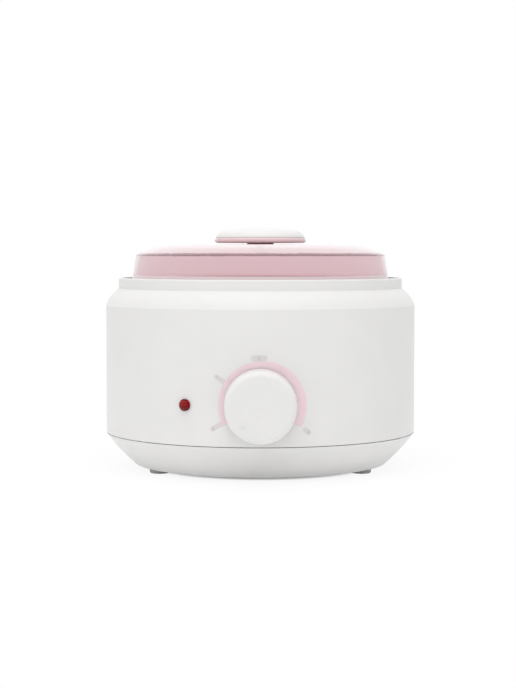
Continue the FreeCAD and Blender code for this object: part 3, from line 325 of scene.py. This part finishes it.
class Recipe:
    """A material being made: its node tree, its shader and the place on the piece."""

    def __init__(self, name, **sockets):
        self.material = bpy.data.materials.new(name)
        self.material.use_nodes = True
        self.tree = self.material.node_tree
        self.shader = self.tree.nodes["Principled BSDF"]
        self.place = put(self.tree, "ShaderNodeTexCoord").outputs["Object"]
        for label, value in sockets.items():
            self.shader.inputs[label.replace("_", " ").title().replace("Ior", "IOR")].default_value = value

    def effect(self, name, **values):
        """Place a shared effect with this material's own values."""
        inputs = {"Place": self.place, **{label.title(): value for label, value in values.items()}}
        return put(self.tree, "ShaderNodeGroup", inputs, node_tree=bpy.data.node_groups[name]).outputs

    def feed(self, socket, value):
        """Link a value to one of the shader's sockets."""
        self.tree.links.new(value, self.shader.inputs[socket])

    def height(self):
        """Height on the piece."""
        return put(self.tree, "ShaderNodeSeparateXYZ", {0: self.place}).outputs["Z"]

    def tones(self, factor, base, drift):
        """Base colour that drifts between a shade and a near one, which is the first times the drift."""
        second = (*(min(1.0, channel * drift) for channel in base), 1)
        factor = spread(self.tree, factor, 0.0, 1.0)
        self.feed("Base Color", mixed_colours(self.tree, factor, (*base, 1), second))

    def stripe(self, low, high, tint):
        """Another base colour between two heights."""
        height = self.height()
        over = maths(self.tree, "GREATER_THAN", height, low)
        inside = maths(self.tree, "MULTIPLY", over, maths(self.tree, "LESS_THAN", height, high))
        skin = self.shader.inputs["Base Color"].links[0].from_socket
        self.feed("Base Color", mixed_colours(self.tree, inside, skin, (*tint, 1)))

    def bands(self, stops, waver=0.0):
        """A colour and a value by height: (height, colour, value) stops with straight runs between them.

        In the upper half the height wavers either way by the given length, with a noise about 3 mm long.
        """
        low, high = stops[0][0], stops[-1][0]
        height = self.height()
        if waver:
            drift = spread(self.tree, noise(self.tree, self.place, WAVER_SCALE, 1.0), -waver, waver)
            upper = maths(self.tree, "GREATER_THAN", height, (low + high) / 2)
            height = maths(self.tree, "ADD", height, maths(self.tree, "MULTIPLY", drift, upper))
        way = put(self.tree, "ShaderNodeMapRange", {"Value": height, "From Min": low, "From Max": high})
        ramp = put(self.tree, "ShaderNodeValToRGB", {"Fac": way.outputs[0]})
        marks = ramp.color_ramp.elements
        while len(marks) < len(stops):
            marks.new(1.0)
        for mark, (level, tint, value) in zip(marks, stops):
            mark.position = (level - low) / (high - low)
            mark.color = (*tint, value)
        return ramp.outputs["Color"], ramp.outputs["Alpha"]

    def gloss(self, factor, roughness, reach):
        """Roughness that varies between the two shares of it that the reach gives."""
        least, most = reach
        self.feed("Roughness", spread(self.tree, factor, roughness * least, roughness * most))

    def relief(self, height, depth):
        """Bump of the given depth in metres."""
        bump = put(self.tree, "ShaderNodeBump", {"Height": height, "Distance": depth, "Strength": 1.0})
        self.feed("Normal", bump.outputs[0])

    def surface(self, shader):
        """Make a shader the material's surface."""
        self.tree.links.new(shader, self.tree.nodes["Material Output"].inputs["Surface"])

    def show_through(self, tint, milk, heart):
        """What is behind shows straight through, tinted, less by the wall's milk and by its gloss.

        Both are on the outer side that faces the eye, where the normal points away from the heart of
        the shell. The gloss is the Fresnel share of clear plastic. The milk hides more where the view
        slants through the wall: one minus its clear share to the power of one over the cosine.
        """
        tree = self.tree
        facing = maths(tree, "SUBTRACT", 1.0, put(tree, "ShaderNodeNewGeometry").outputs["Backfacing"])
        normal = put(tree, "ShaderNodeTexCoord").outputs["Normal"]
        away = put(tree, "ShaderNodeVectorMath", {0: self.place, 1: heart}, operation="SUBTRACT").outputs[0]
        lean = put(tree, "ShaderNodeVectorMath", {0: normal, 1: away}, operation="DOT_PRODUCT")
        outer = maths(tree, "MULTIPLY", facing, maths(tree, "GREATER_THAN", lean.outputs["Value"], 0.0))
        gloss = put(tree, "ShaderNodeFresnel", {"IOR": CLEAR_IOR}).outputs[0]
        cosine = maths(tree, "SUBTRACT", SLANT_REACH, put(tree, "ShaderNodeLayerWeight").outputs["Facing"])
        clear = maths(tree, "POWER", maths(tree, "SUBTRACT", 1.0, milk), maths(tree, "DIVIDE", 1.0, cosine))
        cloud = maths(tree, "MAXIMUM", gloss, maths(tree, "SUBTRACT", 1.0, clear))
        hidden = maths(tree, "MULTIPLY", outer, cloud)
        straight = put(tree, "ShaderNodeBsdfTransparent", {"Color": tint}).outputs[0]
        self.surface(mixed_shaders(tree, hidden, straight, self.shader.outputs[0]))


def moulding(name, base, roughness, grain, ripple, depth, drift=0.985, stripe=None, **sockets):
    """A moulded plastic or rubber skin, with a stripe (low, high, colour) round it where one is given."""
    recipe = Recipe(name, **sockets)
    skin = recipe.effect("moulded skin", grain=1 / grain, ripple=1 / ripple)
    recipe.tones(skin["Tone"], base, drift)
    if stripe:
        recipe.stripe(*stripe)
    recipe.gloss(skin["Gloss"], roughness, SATIN)
    recipe.relief(skin["Height"], depth)
    return recipe.material


def dark_moulding(name, base):
    """The plain skin of the gland and of the leads' covers."""
    return moulding(name, base, roughness=0.5, grain=0.5 * MM, ripple=6 * MM, depth=0.02 * MM, drift=0.8)


def ink(name, base):
    """A thin printed film."""
    return moulding(name, base, roughness=0.5, grain=0.4 * MM, ripple=5 * MM, depth=0.004 * MM, drift=0.97)


def spun_metal(name, base, roughness, rings, depth, drift=0.9):
    """A metal skin with rings left by spinning or turning."""
    recipe = Recipe(name, metallic=1.0)
    lines = recipe.effect("turned rings", rings=rings)
    recipe.tones(lines["Tone"], base, drift)
    recipe.gloss(lines["Height"], roughness, TURNED)
    recipe.relief(lines["Height"], depth)
    return recipe.material


def plated_metal(name, base, roughness, scale=600.0, depth=0.01 * MM, drift=0.86):
    """A plated, drawn or pressed metal skin."""
    recipe = Recipe(name, metallic=1.0)
    patches = recipe.effect("plated mottle", scale=scale)
    recipe.tones(patches["Tone"], base, drift)
    recipe.gloss(patches["Tone"], roughness, PLATED)
    recipe.relief(patches["Height"], depth)
    return recipe.material


def dress(material, *names):
    """Give the named CAD nodes one material."""
    for name in names:
        slots = NODES[name].data.materials
        slots.clear()
        slots.append(material)


# Surfaces worked out on a grid

def grid_faces(rows, columns):
    """Quads of a rows by columns grid of points, as one array of corner numbers."""
    corner = np.arange((rows - 1) * columns).reshape(rows - 1, columns)[:, :-1]
    return np.stack([corner, corner + 1, corner + columns + 1, corner + columns], axis=-1).reshape(-1, 4)


def new_piece(name, points, faces, material, body):
    """A mesh piece at the origin that rides on a CAD body."""
    mesh = bpy.data.meshes.new(name)
    mesh.from_pydata(points.tolist(), [], [list(face) for face in faces])
    mesh.polygons.foreach_set("use_smooth", np.ones(len(mesh.polygons), dtype=bool))
    mesh.materials.append(material)
    mesh.update()
    piece = bpy.data.objects.new(name, mesh)
    bpy.context.scene.collection.objects.link(piece)
    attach(piece, body)


def on_wall(across, up, film):
    """Points pressed straight back on the round wall.

    y is minus the root of the wall's radius, with the film, squared less x squared.
    """
    radius = WALL_RADIUS + film
    x = KNOB_CENTRE.x + across
    points = np.stack([x, -np.sqrt(radius ** 2 - x ** 2), KNOB_CENTRE.z + up], axis=-1)
    return points.reshape(-1, 3)


def crescent_grid(dial, rows=145, columns=9):
    """Angle by share of the way from the inner circle to the outer one, whose centre is shifted.

    With the shift d at angle b, a ray at angle a meets the outer circle, of radius R, at
    d cos(a - b) + root(R squared - (d sin(a - b)) squared).
    """
    turn = np.linspace(dial.start, dial.stop, rows)[:, None]
    way = np.linspace(0, 1, columns)[None, :]
    lean = turn - dial.shift_angle
    outer = dial.shift * np.cos(lean) + np.sqrt(dial.outer ** 2 - (dial.shift * np.sin(lean)) ** 2)
    radius = dial.inner + (outer - dial.inner) * way
    return radius * np.cos(turn), radius * np.sin(turn)


def bar_grid(middle, turn, size, rows=25, columns=7):
    """A bar with round ends: its half width is root(1 - (1 - e) squared) of the end's distance e."""
    long, wide = size
    along = np.linspace(-long / 2, long / 2, rows)[:, None]
    end = np.clip((long / 2 - np.abs(along)) / (wide / 2), 0, 1)
    half = wide / 2 * np.sqrt(1 - (1 - end) ** 2)
    side = half * np.linspace(1, -1, columns)[None, :]
    cosine, sine = math.cos(turn), math.sin(turn)
    return middle[0] + along * cosine - side * sine, middle[1] + along * sine + side * cosine


def number_outline(text, height):
    """Flat mesh of a plain number centred on its own middle: points across and up, and its faces."""
    curve = bpy.data.curves.new("number", "FONT")
    curve.body = text
    curve.size = height / CAP_SHARE
    lettering = bpy.data.objects.new("number", curve)
    bpy.context.scene.collection.objects.link(lettering)
    mesh = bpy.data.meshes.new_from_object(lettering)
    points = np.empty(3 * len(mesh.vertices))
    mesh.vertices.foreach_get("co", points)
    flat = points.reshape(-1, 3)[:, :2]
    flat = flat - (flat.min(axis=0) + flat.max(axis=0)) / 2
    faces = [list(polygon.vertices) for polygon in mesh.polygons]
    bpy.data.objects.remove(lettering)
    bpy.data.curves.remove(curve)
    bpy.data.meshes.remove(mesh)
    return flat[:, 0], flat[:, 1], faces


# Operators

class HEATER_OT_effects(Operator):
    """Build the shared surface effects"""
    bl_idname = "heater.effects"
    bl_label = "Surface effects"

    def execute(self, context):
        moulded_skin()
        turned_rings()
        plated_mottle()
        return {"FINISHED"}


class HEATER_OT_shells(Operator):
    """Give the housing, the base cup and the gland their moulded skins"""
    bl_idname = "heater.shells"
    bl_label = "Shells"

    def execute(self, context):
        finish = context.scene.heater_shell
        # A whiter stripe in the seam, painted light that lifts the shade in the gap.
        seam = (finish.seam_low, finish.seam_high, finish.seam_white)
        skin = moulding("shell white", finish.colour, finish.roughness, finish.grain, finish.ripple,
                        depth=0.012 * MM, stripe=seam)
        dress(skin, "upper_housing", "base_cup")
        dark = dark_moulding("gland black", (0.030, 0.030, 0.032))
        dress(dark, "cord_gland", "gland_nut", "thermostat_body")
        return {"FINISHED"}


class HEATER_OT_feet(Operator):
    """Give the three feet their rubber"""
    bl_idname = "heater.feet"
    bl_label = "Feet"

    def execute(self, context):
        # Paler grey than dark rubber: painted light that lifts the shade under the base.
        rubber = moulding("foot rubber", context.scene.heater_shell.foot_colour, roughness=0.72,
                          grain=0.6 * MM, ripple=5 * MM, depth=0.03 * MM, drift=0.8)
        dress(rubber, "foot_front_left", "foot_front_right", "foot_back")
        return {"FINISHED"}


class HEATER_OT_control(Operator):
    """Give the control knob, the lid's cap and the turned brass their finishes"""
    bl_idname = "heater.control"
    bl_label = "Knob and cap"

    def execute(self, context):
        finish = context.scene.heater_shell
        roughness = finish.roughness * finish.knob_share
        for name, base, node in (("knob white", finish.knob_colour, "control_knob"),
                                 ("cap white", finish.cap_colour, "lid_knob_cap")):
            skin = moulding(name, base, roughness, finish.grain, finish.ripple, depth=0.008 * MM)
            dress(skin, node)
        brass = spun_metal("turned brass", (0.72, 0.52, 0.25), roughness=0.3, rings=2500.0, depth=0.01 * MM)
        dress(brass, "thermostat_shaft", "thermostat_tabs", "terminal_screws")
        return {"FINISHED"}


class HEATER_OT_lid(Operator):
    """Give the lid its clear tint and the grip its pink"""
    bl_idname = "heater.lid"
    bl_label = "Lid"

    def execute(self, context):
        finish = context.scene.heater_lid
        clear = Recipe("clear pink")
        skin = clear.effect("moulded skin", grain=LID_GRAIN, ripple=LID_RIPPLE)
        clear.gloss(skin["Gloss"], finish.roughness, HAZY)
        clear.relief(skin["Height"], depth=0.01 * MM)
        rim = LID_LOW.z + finish.rim_height
        corner = LID_LOW.z + finish.edge_height
        half = finish.edge_width / 2
        # The band round the corner between skirt and dome is painted shade over a deeper tint of the thicker
        # plastic, and its line wavers in height.
        tint, milk = clear.bands([
            (rim - RIM_FADE, finish.rim_tint, finish.rim_milk),
            (rim + RIM_FADE, finish.tint, finish.milk),
            (corner - half, finish.tint, finish.milk),
            (corner - half * EDGE_SHADE_CORE, finish.edge_tint, finish.milk),
            (corner + half * EDGE_SHADE_CORE, finish.edge_tint, finish.milk),
            (corner + half, finish.tint, finish.dome_milk),
        ], finish.edge_waver)
        clear.feed("Base Color", tint)
        clear.show_through(tint, milk, (0, 0, rim))
        dress(clear.material, "lid_shell")
        grip = moulding("grip pink", finish.grip_colour, roughness=0.28,
                        grain=0.6 * MM, ripple=14 * MM, depth=0.008 * MM)
        dress(grip, "lid_knob")
        return {"FINISHED"}


class HEATER_OT_pot(Operator):
    """Give the pot, the well, the bail, the lid's screw and the seal their finishes"""
    bl_idname = "heater.pot"
    bl_label = "Pot and well"

    def execute(self, context):
        spun = spun_metal("spun aluminium", (0.80, 0.80, 0.81), roughness=0.32,
                          rings=1100.0, depth=0.003 * MM)
        dress(spun, "inner_pot")
        pressed = spun_metal("pressed aluminium", (0.66, 0.66, 0.67), roughness=0.42,
                             rings=700.0, depth=0.03 * MM)
        dress(pressed, "heating_chamber")
        wire = plated_metal("bright wire", (0.80, 0.80, 0.80), roughness=0.16,
                            scale=900.0, depth=0.004 * MM)
        dress(wire, "bail_handle", "bail_lug_left", "bail_lug_right")
        nickel = plated_metal("polished nickel", (0.96, 0.955, 0.95), roughness=0.08,
                              scale=900.0, depth=0.002 * MM)
        dress(nickel, "lid_knob_screw", "lid_screw_washer")
        seal = moulding("seal silicone", (0.62, 0.60, 0.57), roughness=0.6,
                        grain=0.6 * MM, ripple=6 * MM, depth=0.02 * MM, drift=0.9)
        dress(seal, "chamber_gasket")
        return {"FINISHED"}


class HEATER_OT_indicator(Operator):
    """Give the indicator its red lens and its lamp"""
    bl_idname = "heater.indicator"
    bl_label = "Indicator"

    def execute(self, context):
        finish = context.scene.heater_lens
        red = Recipe("lens red", specular_ior_level=0.2)
        skin = red.effect("moulded skin", grain=LENS_GRAIN, ripple=LENS_RIPPLE)
        red.gloss(skin["Gloss"], finish.roughness, GLASSY)
        red.relief(skin["Height"], depth=0.02 * MM)
        # Painted highlights: two bands of lighter red across the lens, at given heights over its middle.
        stops = [(LENS_LOW.z, finish.foot, 1.0)]
        for middle in (LENS_HEIGHT + finish.low_rib, LENS_HEIGHT + finish.high_rib):
            stops += [(middle - finish.rib_width, finish.core, 1.0), (middle, finish.rib, 1.0),
                      (middle + finish.rib_width, finish.core, 1.0)]
        red.feed("Base Color", red.bands(stops)[0])
        dress(red.material, "indicator_lens")
        lamp = moulding("lamp glass", (0.75, 0.55, 0.42), roughness=0.08, grain=0.8 * MM, ripple=4 * MM,
                        depth=0.01 * MM, drift=0.9, transmission_weight=0.9)
        dress(lamp, "indicator_lamp")
        return {"FINISHED"}


class HEATER_OT_works(Operator):
    """Give the heater, the leads and the electrical pieces inside their finishes"""
    bl_idname = "heater.works"
    bl_label = "Works"

    def execute(self, context):
        mica = plated_metal("mica band", (0.40, 0.36, 0.28), roughness=0.5, scale=300.0, depth=0.05 * MM)
        dress(mica, "heater_band")
        felt = moulding("glass felt", (0.74, 0.73, 0.68), roughness=0.95,
                        grain=0.3 * MM, ripple=3 * MM, depth=0.3 * MM, drift=0.8)
        dress(felt, "insulation_sleeve")
        nylon = moulding("block nylon", (0.68, 0.66, 0.58), roughness=0.45,
                         grain=0.5 * MM, ripple=8 * MM, depth=0.01 * MM, drift=0.93)
        dress(nylon, "terminal_block", "thermal_fuse")
        copper = plated_metal("drawn copper", (0.72, 0.36, 0.22), roughness=0.3)
        dress(copper, "sensor_bulb", "capillary_tube")
        dress(dark_moulding("brown lead", (0.10, 0.040, 0.018)), "lead_supply", "lead_heater_live")
        dress(dark_moulding("blue lead", (0.015, 0.05, 0.25)), "lead_neutral", "lead_heater_neutral")
        return {"FINISHED"}


class HEATER_OT_fixings(Operator):
    """Give the screws, nuts, brackets and clips their zinc plating"""
    bl_idname = "heater.fixings"
    bl_label = "Fixings"

    def execute(self, context):
        zinc = plated_metal("zinc plating", (0.56, 0.57, 0.58), roughness=0.32, scale=700.0)
        dress(zinc, "base_screws", "band_clamp", "clamp_screw", "clamp_nut", "bracket_screws",
              "chamber_bracket_left", "chamber_bracket_right", "chamber_bracket_front",
              "thermostat_nut", "bulb_clip", "fuse_clip", "lens_retainer", "block_screw",
              "knob_spring_clip")
        return {"FINISHED"}


class HEATER_OT_dial_print(Operator):
    """Print the crescent, the marks and the numbers on the wall round the knob"""
    bl_idname = "heater.dial_print"
    bl_label = "Dial print"

    def execute(self, context):
        dial = context.scene.heater_dial
        across, up = crescent_grid(dial)
        self.printed("dial_crescent", on_wall(across, up, dial.film), grid_faces(*across.shape),
                     ink("pink ink", dial.pink))
        grey = ink("grey ink", dial.grey)
        dark = ink("dark ink", dial.dark)
        for number, (middle, turn, size, spot) in enumerate(DIAL_MARKS):
            across, up = bar_grid(np.multiply(middle, MM), math.radians(turn), np.multiply(size, MM))
            points = on_wall(across, up, dial.film * MARK_FILM)
            self.printed(f"dial_mark_{number}", points, grid_faces(*across.shape), grey)
            across, up, faces = number_outline(str(number), dial.number)
            points = on_wall(across + spot[0] * MM, up + spot[1] * MM, dial.film * NUMBER_FILM)
            self.printed(f"dial_number_{number}", points, faces, dark)
        return {"FINISHED"}

    def printed(self, name, points, faces, film):
        """One film of ink on the housing's wall."""
        new_piece(name, points, faces, film, "housing")


class HEATER_OT_stage(Operator):
    """Set the floor, the light and the camera"""
    bl_idname = "heater.stage"
    bl_label = "Stage"

    def execute(self, context):
        studio = context.scene.heater_studio
        self.floor(studio)
        self.sky(studio)
        self.softbox("top softbox", studio.top_light, studio.top_size, studio.top_place, studio.aim)
        self.softbox("front softbox", studio.front_light, studio.front_size, studio.front_place, studio.aim)
        self.camera(studio)
        return {"FINISHED"}

    def floor(self, studio):
        """A flat disc: radius by turn, at height zero, white to the eye and shaded near the object."""
        turn = np.linspace(0, 2 * math.pi, FLOOR_TURNS)[:, None]
        radius = np.array(FLOOR_RINGS)[None, :]
        across, back = radius * np.cos(turn), radius * np.sin(turn)
        points = np.stack([across, back, np.zeros_like(across)], axis=-1).reshape(-1, 3)
        mesh = bpy.data.meshes.new("floor")
        mesh.from_pydata(points.tolist(), [], grid_faces(*across.shape).tolist())
        recipe = Recipe("floor white", roughness=0.9, base_color=(*studio.floor_white, 1))
        tree = recipe.tree
        away = put(tree, "ShaderNodeVectorMath", {0: recipe.place}, operation="LENGTH").outputs["Value"]
        around = self.rise(tree, away, studio.near_radius, studio.far_radius, studio.near_white)
        under = self.rise(tree, away, studio.under_radius, studio.edge_radius, studio.under_white)
        clear = maths(tree, "MULTIPLY", seen(tree), maths(tree, "MINIMUM", around, under))
        glow = put(tree, "ShaderNodeEmission", {"Color": WHITE, "Strength": 1.0}).outputs[0]
        top = mixed_shaders(tree, clear, recipe.shader.outputs[0], glow)
        below = put(tree, "ShaderNodeNewGeometry").outputs["Backfacing"]
        glass = put(tree, "ShaderNodeBsdfTransparent").outputs[0]
        recipe.surface(mixed_shaders(tree, below, top, glass))
        mesh.materials.append(recipe.material)
        floor = bpy.data.objects.new("floor", mesh)
        bpy.context.scene.collection.objects.link(floor)

    def rise(self, tree, away, start, stop, low):
        """A smooth rise from a low value at one distance to one at another."""
        inputs = {"Value": away, "From Min": start, "From Max": stop, "To Min": low, "To Max": 1.0}
        return put(tree, "ShaderNodeMapRange", inputs, interpolation_type="SMOOTHSTEP").outputs[0]

    def sky(self, studio):
        """White to the eye; as light, stronger from above than from the sides, and least from the right."""
        world = bpy.data.worlds.new("studio")
        bpy.context.scene.world = world
        world.use_nodes = True
        tree = world.node_tree
        way = put(tree, "ShaderNodeTexCoord").outputs["Generated"]
        parts = put(tree, "ShaderNodeSeparateXYZ", {0: way}).outputs
        upward = {"Value": parts["Z"], "To Min": studio.horizon, "To Max": studio.zenith}
        rightward = {"Value": parts["X"], "To Min": 1.0, "To Max": 1.0 - studio.right_fall}
        light = maths(tree, "MULTIPLY", put(tree, "ShaderNodeMapRange", upward).outputs[0],
                      put(tree, "ShaderNodeMapRange", rightward).outputs[0])
        strength = put(tree, "ShaderNodeMix", {"Factor": seen(tree), "A": light, "B": 1.0}).outputs["Result"]
        back = tree.nodes["Background"]
        back.inputs["Color"].default_value = WHITE
        tree.links.new(strength, back.inputs["Strength"])

    def softbox(self, name, power, size, spot, aim):
        """A round soft lamp turned to the heater; reflections show the white surround in its place."""
        light = bpy.data.lights.new(name, "AREA")
        light.shape = "DISK"
        light.size = size
        light.energy = power
        lamp = bpy.data.objects.new(name, light)
        lamp.location = spot
        lamp.rotation_mode = "QUATERNION"
        lamp.rotation_quaternion = (Vector(aim) - Vector(spot)).to_track_quat("-Z", "Y")
        lamp.visible_glossy = False
        bpy.context.scene.collection.objects.link(lamp)

    def camera(self, studio):
        """The photograph's view: level across, a little down, from the front."""
        data = bpy.data.cameras.new("camera")
        data.lens = studio.lens
        camera = bpy.data.objects.new("camera", data)
        camera.location = (studio.aside, -studio.distance, studio.height)
        camera.rotation_euler = (math.pi / 2 - studio.tilt, 0, 0)
        bpy.context.scene.collection.objects.link(camera)
        bpy.context.scene.camera = camera
        bpy.context.scene.view_settings.view_transform = "Standard"


STEPS = (HEATER_OT_effects, HEATER_OT_shells, HEATER_OT_feet, HEATER_OT_control, HEATER_OT_lid,
         HEATER_OT_pot, HEATER_OT_indicator, HEATER_OT_works, HEATER_OT_fixings,
         HEATER_OT_dial_print, HEATER_OT_stage)
SETTINGS = {"heater_shell": ShellFinish, "heater_lid": LidFinish, "heater_lens": LensFinish,
            "heater_dial": DialPrint, "heater_studio": StudioSettings}


class HEATER_PT_panel(Panel):
    """Lists the steps and their settings"""
    bl_idname = "HEATER_PT_panel"
    bl_label = "Wax heater"
    bl_space_type = "VIEW_3D"
    bl_region_type = "UI"
    bl_category = "Wax heater"

    def draw(self, context):
        for name, group in SETTINGS.items():
            box = self.layout.box()
            for label in group.__annotations__:
                box.prop(getattr(context.scene, name), label)
        for step in STEPS:
            self.layout.operator(step.bl_idname)


def register():
    for group in SETTINGS.values():
        bpy.utils.register_class(group)
    for name, group in SETTINGS.items():
        setattr(bpy.types.Scene, name, PointerProperty(type=group))
    for step in STEPS:
        bpy.utils.register_class(step)
    bpy.utils.register_class(HEATER_PT_panel)


def unregister():
    bpy.utils.unregister_class(HEATER_PT_panel)
    for step in reversed(STEPS):
        bpy.utils.unregister_class(step)
    for name, group in SETTINGS.items():
        delattr(bpy.types.Scene, name)
        bpy.utils.unregister_class(group)


def main():
    register()
    bpy.ops.heater.effects()
    bpy.ops.heater.shells()
    bpy.ops.heater.feet()
    bpy.ops.heater.control()
    bpy.ops.heater.lid()
    bpy.ops.heater.pot()
    bpy.ops.heater.indicator()
    bpy.ops.heater.works()
    bpy.ops.heater.fixings()
    bpy.ops.heater.dial_print()
    bpy.ops.heater.stage()


if __name__ == "__main__":
    main()
